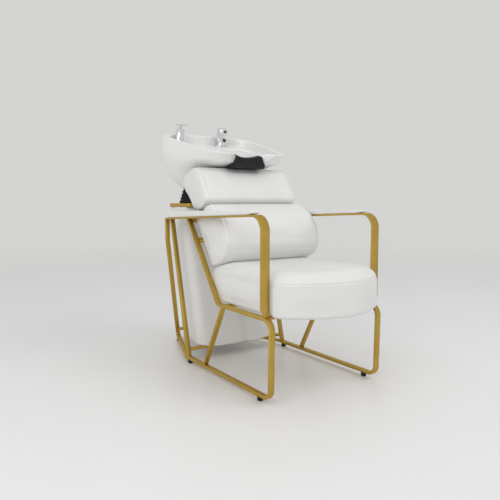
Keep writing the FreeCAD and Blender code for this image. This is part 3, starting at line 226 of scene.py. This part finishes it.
BOARD = surface(
    "board", dark=(0.30, 0.19, 0.10), light=(0.42, 0.29, 0.17), patch_scale=60, rough=(0.6, 0.8),
    grain_scale=500, grain_strength=0.3, grain_depth=0.0006)

FINISH = {
    "gold_frame": GOLD, "white_upholstery": LEATHER, "white_ceramic": CERAMIC, "black_rubber": RUBBER,
    "chrome": CHROME, "board": BOARD, "steel": STEEL, "black_plastic": PLASTIC, "waste_plastic": WASTE,
}


def coat_with(item, material):
    """Makes a material the only one on an object."""
    item.data.materials.clear()
    item.data.materials.append(material)


for node, item in NODES.items():
    coat_with(item, FINISH[SLOT_OF[node]])


# Pieces made from the solids

WELD = 2e-5
FLAT_ANGLE = math.radians(1)
EDGE_ANGLE = math.radians(38)
EDGE_SEGMENTS = 2
SMOOTH_FACTOR = 0.5


def copy_of(node):
    """New object with a welded copy of a node's mesh."""
    mesh = NODES[node].data.copy()
    work = bmesh.new()
    work.from_mesh(mesh)
    bmesh.ops.remove_doubles(work, verts=work.verts, dist=WELD)
    bmesh.ops.recalc_face_normals(work, faces=work.faces)
    work.to_mesh(mesh)
    work.free()
    piece = bpy.data.objects.new("%s_look" % node, mesh)
    SCENE.collection.objects.link(piece)
    return piece


def bake(piece):
    """Applies a piece's modifiers to its mesh and shades it smooth."""
    graph = bpy.context.evaluated_depsgraph_get()
    mesh = bpy.data.meshes.new_from_object(piece.evaluated_get(graph))
    piece.modifiers.clear()
    piece.data = mesh
    piece.data.shade_smooth()


def smooth(piece, rounds):
    """Adds rounds of smoothing to a piece."""
    modifier = piece.modifiers.new("smooth", "SMOOTH")
    modifier.factor = SMOOTH_FACTOR
    modifier.iterations = rounds


def dress(piece, node, material):
    """Gives a piece its material and puts it in a node's place."""
    coat_with(piece, material)
    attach(piece, BODY_OF[node])
    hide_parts(node)


def bevelled(node, width):
    """Metal or hard piece: the node's shape with narrow rounded edges."""
    piece = copy_of(node)
    work = bmesh.new()
    work.from_mesh(piece.data)
    bmesh.ops.dissolve_limit(work, angle_limit=FLAT_ANGLE, verts=work.verts, edges=work.edges)
    work.to_mesh(piece.data)
    work.free()
    edge = piece.modifiers.new("edge", "BEVEL")
    edge.width = width
    edge.segments = EDGE_SEGMENTS
    edge.limit_method = "ANGLE"
    edge.angle_limit = EDGE_ANGLE
    edge.harden_normals = True
    bake(piece)
    shading = piece.modifiers.new("shading", "EDGE_SPLIT")
    shading.split_angle = EDGE_ANGLE
    bake(piece)
    dress(piece, node, FINISH[SLOT_OF[node]])


def remeshed(node, voxel, rounds):
    """Even quads over a node's shape, smoothed so that its edges turn soft."""
    piece = copy_of(node)
    grid = piece.modifiers.new("grid", "REMESH")
    grid.mode = "VOXEL"
    grid.voxel_size = voxel
    smooth(piece, rounds)
    bake(piece)
    return piece


def cast(node, voxel, rounds):
    """Cast or moulded piece with soft edges."""
    dress(remeshed(node, voxel, rounds), node, FINISH[SLOT_OF[node]])


# Cushions blown up as cloth

CUSHION_VOXEL = 0.005
CLOTH_PRESSURE = 4
CLOTH_STIFFNESS = 15
CLOTH_BENDING = 0.6
CLOTH_FRAMES = 20
CLOTH_SMOOTHING = 8
SINK_CAP = 0.0005


def blow_up(piece):
    """Runs a piece as cloth under inner pressure and keeps the last frame."""
    cloth = piece.modifiers.new("cloth", "CLOTH")
    cloth.settings.use_pressure = True
    cloth.settings.uniform_pressure_force = CLOTH_PRESSURE
    cloth.settings.tension_stiffness = CLOTH_STIFFNESS
    cloth.settings.compression_stiffness = CLOTH_STIFFNESS
    cloth.settings.bending_stiffness = CLOTH_BENDING
    cloth.settings.effector_weights.gravity = 0
    cloth.point_cache.frame_end = CLOTH_FRAMES
    for step in range(1, CLOTH_FRAMES + 1):
        SCENE.frame_set(step)
    bake(piece)
    SCENE.frame_set(1)


def stuffed(node, rounds, start_in, cap):
    """Cushion: the node's shape, moved in by start_in, then blown up by at most cap."""
    piece = remeshed(node, CUSHION_VOXEL, rounds)
    outward = [vertex.normal.copy() for vertex in piece.data.vertices]
    for vertex, normal in zip(piece.data.vertices, outward):
        vertex.co -= normal * start_in
    rest = [vertex.co.copy() for vertex in piece.data.vertices]
    blow_up(piece)
    for vertex, start, normal in zip(piece.data.vertices, rest, outward):
        move = vertex.co - start
        sunk = -move.dot(normal) - SINK_CAP
        if sunk > 0:
            move += normal * sunk
        if move.length > cap:
            move = move.normalized() * cap
        vertex.co = start + move
    smooth(piece, CLOTH_SMOOTHING)
    bake(piece)
    return piece


def finish_cushion(piece, node):
    level = piece.modifiers.new("level", "SUBSURF")
    level.levels = 1
    level.render_levels = 1
    bake(piece)
    dress(piece, node, LEATHER)


# Seams and stitches

ACROSS = Vector((1, 0, 0))
UP = Vector((0, 0, 1))
SEAM_WIDTH = 0.006
SEAM_DEPTH = 0.004
STITCH_BESIDE = 0.006
STITCH_POINTS = 5
THREAD_RADIUS = 0.0008
THREAD_ROUNDNESS = 2
THREAD_RISE_SHARE = 0.4


def seam(piece, spot, normal, width, depth):
    """Draws a piece in along a plane, as a sewn seam does."""
    pulls = []
    for vertex in piece.data.vertices:
        away = abs((vertex.co - spot).dot(normal)) / width
        if away < 1:
            pulls.append((vertex, vertex.normal.copy(), depth * (1 - away * away) ** 2))
    for vertex, outward, pull in pulls:
        vertex.co -= (outward - normal * outward.dot(normal)) * pull


def slice_loop(piece, spot, normal):
    """Points of the longest cut of a piece by a plane, in order."""
    work = bmesh.new()
    work.from_mesh(piece.data)
    geometry = work.verts[:] + work.edges[:] + work.faces[:]
    cut = bmesh.ops.bisect_plane(work, geom=geometry, plane_co=spot, plane_no=normal)["geom_cut"]
    links = {}
    for item in cut:
        if isinstance(item, bmesh.types.BMEdge):
            first, second = item.verts
            links.setdefault(first, []).append(second)
            links.setdefault(second, []).append(first)
    longest = []
    seen = set()
    for start in links:
        if start in seen:
            continue
        loop = []
        step = start
        while step:
            seen.add(step)
            loop.append(step)
            step = next((item for item in links[step] if item not in seen), None)
        if len(loop) > len(longest):
            longest = loop
    points = [vertex.co.copy() for vertex in longest]
    work.free()
    return points


def stitched(piece, node, name, spot, normal):
    """Thread along a seam: short raised stitches that follow the cut of a plane."""
    points = slice_loop(piece, spot, normal)
    skin = BVHTree.FromObject(piece, bpy.context.evaluated_depsgraph_get())
    middle = sum(points, Vector()) / len(points)
    curve = bpy.data.curves.new(name, "CURVE")
    curve.dimensions = "3D"
    curve.bevel_depth = THREAD_RADIUS
    curve.bevel_resolution = THREAD_ROUNDNESS
    curve.use_fill_caps = True
    for start in range(0, len(points) - STITCH_POINTS, STITCH_POINTS):
        run = points[start:start + STITCH_POINTS - 1]
        spline = curve.splines.new("POLY")
        spline.points.add(len(run) - 1)
        for target, point in zip(spline.points, run):
            above = point + (point - middle).normalized() * THREAD_RADIUS
            on_skin, outward = skin.find_nearest(above)[:2]
            target.co = (*(on_skin + outward * THREAD_RADIUS * THREAD_RISE_SHARE), 1)
    thread = bpy.data.objects.new(name, curve)
    SCENE.collection.objects.link(thread)
    thread.data.materials.append(THREAD)
    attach(thread, BODY_OF[node])


def smooth_step(value):
    """0 to 1 with soft ends."""
    value = min(max(value, 0), 1)
    return value * value * (3 - 2 * value)


# Seat: its front swells past the arm posts, and its lower edge hangs over the board

TOP_SEAM_DROP = 0.025
CROWN_SHARE = 0.5
CROWN_REAR_LOSS_SHARE = 0.75
EAR_GAP = 0.004
EAR_STEP = 0.005
EAR_LENGTH = 0.20
EAR_OUT = 0.011
REAR_REACH = 0.080
REAR_OUT = 0.014
FRONT_HANG = 0.012
SIDE_HANG = 0.009
SIDE_BAND = 0.035
HANG_REACH = 0.060


def seat_form(piece):
    """Gives the seat a higher crown, a front that swells past the posts, lower edges and a square rear."""
    low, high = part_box("seat_cushion")
    post_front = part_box("right_arm_strip")[0].y
    seam_height = high.z - TOP_SEAM_DROP
    moves = []
    for vertex in piece.data.vertices:
        place, normal = vertex.co, vertex.normal
        ahead = post_front - EAR_GAP - place.y
        front = smooth_step(ahead / EAR_STEP)
        ear = front * smooth_step(1 - ahead / EAR_LENGTH) * EAR_OUT
        rear = smooth_step((place.y - high.y + REAR_REACH) / REAR_REACH)
        crown = max(place.z - seam_height, 0) * CROWN_SHARE * (1 - rear * CROWN_REAR_LOSS_SHARE)
        side = smooth_step((abs(place.x) - high.x + SIDE_BAND) / SIDE_BAND)
        below = smooth_step((low.z + HANG_REACH - place.z) / HANG_REACH)
        hang = max(front * FRONT_HANG, side * SIDE_HANG) * below
        moves.append((vertex, Vector((normal.x * ear, normal.y * ear + rear * REAR_OUT, crown - hang))))
    for vertex, move in moves:
        vertex.co += move


def seat(node):
    """Seat cushion with a seam round its top edge."""
    piece = stuffed(node, rounds=3, start_in=0.003, cap=0.006)
    seat_form(piece)
    seam_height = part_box(node)[1].z - TOP_SEAM_DROP
    seam(piece, UP * seam_height, UP, SEAM_WIDTH, SEAM_DEPTH)
    finish_cushion(piece, node)
    stitched(piece, node, "seat_stitches", UP * (seam_height - STITCH_BESIDE), UP)


# Back cushions, arm pads and cabinet

END_SEAM_IN = 0.012
CABINET_SEAMS = (0.030, 0.048)
CABINET_SEAM_WIDTH = 0.008
CABINET_SEAM_DEPTH = 0.005
SKIRT_DROP = 0.016
SKIRT_REACH = 0.05
SKIRT_RUN = 0.12


def back(node, rounds, start_in, cap):
    """Back cushion with a seam round each end."""
    piece = stuffed(node, rounds, start_in, cap)
    low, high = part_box(node)
    ends = {"right": (low.x, 1), "left": (high.x, -1)}
    for end, inward in ends.values():
        seam(piece, ACROSS * (end + inward * END_SEAM_IN), ACROSS, SEAM_WIDTH, SEAM_DEPTH)
    finish_cushion(piece, node)
    for side, (end, inward) in ends.items():
        stitch_place = ACROSS * (end + inward * (END_SEAM_IN + STITCH_BESIDE))
        stitched(piece, node, "%s_%s_stitches" % (node, side), stitch_place, ACROSS)


def arm_pad(node):
    """Slim foam pad under stretched leatherette."""
    piece = remeshed(node, voxel=0.003, rounds=5)
    dress(piece, node, LEATHER)


def cabinet(node):
    """Upholstered housing with a double seam down its front and a skirt over most of its front rail."""
    piece = remeshed(node, voxel=0.006, rounds=6)
    low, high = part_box(node)
    rail_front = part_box("cabinet_front_rail")[0].y
    for vertex in piece.data.vertices:
        ahead = smooth_step((rail_front - vertex.co.y) / (rail_front - low.y))
        inside = smooth_step((high.x - abs(vertex.co.x)) / SKIRT_RUN)
        below = smooth_step((low.z + SKIRT_REACH - vertex.co.z) / SKIRT_REACH)
        vertex.co.z -= SKIRT_DROP * ahead * inside * below
    for place in CABINET_SEAMS:
        seam(piece, ACROSS * place, ACROSS, CABINET_SEAM_WIDTH, CABINET_SEAM_DEPTH)
    dress(piece, node, LEATHER)


seat("seat_cushion")
back("lumbar_cushion", rounds=4, start_in=0.003, cap=0.007)
back("upper_back_cushion", rounds=7, start_in=-0.002, cap=0.005)
for pad in ("right_arm_pad", "left_arm_pad"):
    arm_pad(pad)
cabinet("cabinet")


# Ceramic, rubber and metal

RUBBER_BEVEL = 0.0015
BEVEL_OF = {
    "gold_frame": 0.0012, "chrome": 0.0010, "steel": 0.0010,
    "black_plastic": 0.0010, "waste_plastic": 0.0010,
}


def bellows():
    """Ribbed boot from the shelf plate up to the bowl, with soft ribs; it is attached to no body and stays
    in place.
    """
    piece = remeshed("bellows", voxel=0.0022, rounds=1)
    coat_with(piece, BOOT)
    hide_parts("bellows")
    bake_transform(piece)


cast("bowl", voxel=0.0035, rounds=4)
cast("neck_rest", voxel=0.002, rounds=3)
bellows()
for node, slot in SLOT_OF.items():
    if slot in BEVEL_OF:
        bevelled(node, BEVEL_OF[slot])
    elif node.endswith("_foot") or node == "seat_buffers":
        bevelled(node, RUBBER_BEVEL)


# Stage

BACKDROP = (0.655, 0.655, 0.643)
AMBIENT = 0.67
FLOOR_DARK = (0.82, 0.82, 0.82)
FLOOR_LIGHT = (0.84, 0.84, 0.84)
FLOOR_PATCH_SCALE = 1.5
FLOOR_PATCH_DETAIL = 3
FLOOR_ROUGH = (0.30, 0.36)
FLOOR_SPECULAR = 0.25
FLOOR_RADIUS = 40
FLOOR_SIDES = 96
NEAR_FLOOR = 2.2
FAR_FLOOR = 7.5
LAMP_TARGET = Vector((0, 0, 0.55))


def floor_material():
    """Pale floor that fades into the backdrop's colour with its distance from the chair."""
    material, tree, shader, coordinates = new_material("floor")
    patches = noise(tree, coordinates, FLOOR_PATCH_SCALE, FLOOR_PATCH_DETAIL)
    tree.links.new(two_colours(tree, patches, FLOOR_DARK, FLOOR_LIGHT), shader.inputs["Base Color"])
    tree.links.new(spread(tree, patches, *FLOOR_ROUGH), shader.inputs["Roughness"])
    shader.inputs["Specular IOR Level"].default_value = FLOOR_SPECULAR
    length = tree.nodes.new("ShaderNodeVectorMath")
    length.operation = "LENGTH"
    tree.links.new(coordinates, length.inputs[0])
    fade = tree.nodes.new("ShaderNodeMapRange")
    fade.interpolation_type = "SMOOTHSTEP"
    fade.inputs["From Min"].default_value = NEAR_FLOOR
    fade.inputs["From Max"].default_value = FAR_FLOOR
    tree.links.new(length.outputs["Value"], fade.inputs["Value"])
    glow = tree.nodes.new("ShaderNodeEmission")
    glow.inputs["Color"].default_value = (*BACKDROP, 1)
    mix = tree.nodes.new("ShaderNodeMixShader")
    tree.links.new(fade.outputs["Result"], mix.inputs["Fac"])
    tree.links.new(shader.outputs["BSDF"], mix.inputs[1])
    tree.links.new(glow.outputs["Emission"], mix.inputs[2])
    output = next(node for node in tree.nodes if node.type == "OUTPUT_MATERIAL")
    tree.links.new(mix.outputs["Shader"], output.inputs["Surface"])
    return material


def floor():
    """Round floor, wide enough to meet the backdrop."""
    mesh = bpy.data.meshes.new("floor")
    work = bmesh.new()
    bmesh.ops.create_circle(work, cap_ends=True, segments=FLOOR_SIDES, radius=FLOOR_RADIUS)
    work.to_mesh(mesh)
    work.free()
    mesh.materials.append(floor_material())
    disc = bpy.data.objects.new("floor", mesh)
    SCENE.collection.objects.link(disc)


def world():
    """Even studio light; the camera and reflections see the backdrop's colour."""
    studio = bpy.data.worlds.new("studio")
    SCENE.world = studio
    studio.use_nodes = True
    tree = studio.node_tree
    tree.nodes.clear()
    seen = tree.nodes.new("ShaderNodeBackground")
    seen.inputs["Color"].default_value = (*BACKDROP, 1)
    lit = tree.nodes.new("ShaderNodeBackground")
    lit.inputs["Color"].default_value = (1, 1, 1, 1)
    lit.inputs["Strength"].default_value = AMBIENT
    path = tree.nodes.new("ShaderNodeLightPath")
    chosen = path.outputs["Is Camera Ray"]
    for kind in ("Is Glossy Ray", "Is Transmission Ray"):
        either = tree.nodes.new("ShaderNodeMath")
        either.operation = "MAXIMUM"
        tree.links.new(chosen, either.inputs[0])
        tree.links.new(path.outputs[kind], either.inputs[1])
        chosen = either.outputs["Value"]
    mix = tree.nodes.new("ShaderNodeMixShader")
    tree.links.new(chosen, mix.inputs["Fac"])
    tree.links.new(lit.outputs["Background"], mix.inputs[1])
    tree.links.new(seen.outputs["Background"], mix.inputs[2])
    output = tree.nodes.new("ShaderNodeOutputWorld")
    tree.links.new(mix.outputs["Shader"], output.inputs["Surface"])


def softbox(name, place, side, power, shine):
    """Large square lamp aimed at the chair; shine says whether it shows in reflections."""
    lamp = bpy.data.lights.new(name, "AREA")
    lamp.size = side
    lamp.energy = power
    item = bpy.data.objects.new(name, lamp)
    item.location = place
    item.rotation_euler = (LAMP_TARGET - Vector(place)).to_track_quat("-Z", "Y").to_euler()
    item.visible_glossy = shine
    SCENE.collection.objects.link(item)


floor()
world()
softbox("key", place=(1.8, -2.6, 3.4), side=2.6, power=39, shine=False)
softbox("fill", place=(-3.0, -1.6, 2.4), side=2.6, power=38, shine=True)
softbox("top", place=(0.2, 0.2, 4.2), side=3.0, power=5, shine=False)
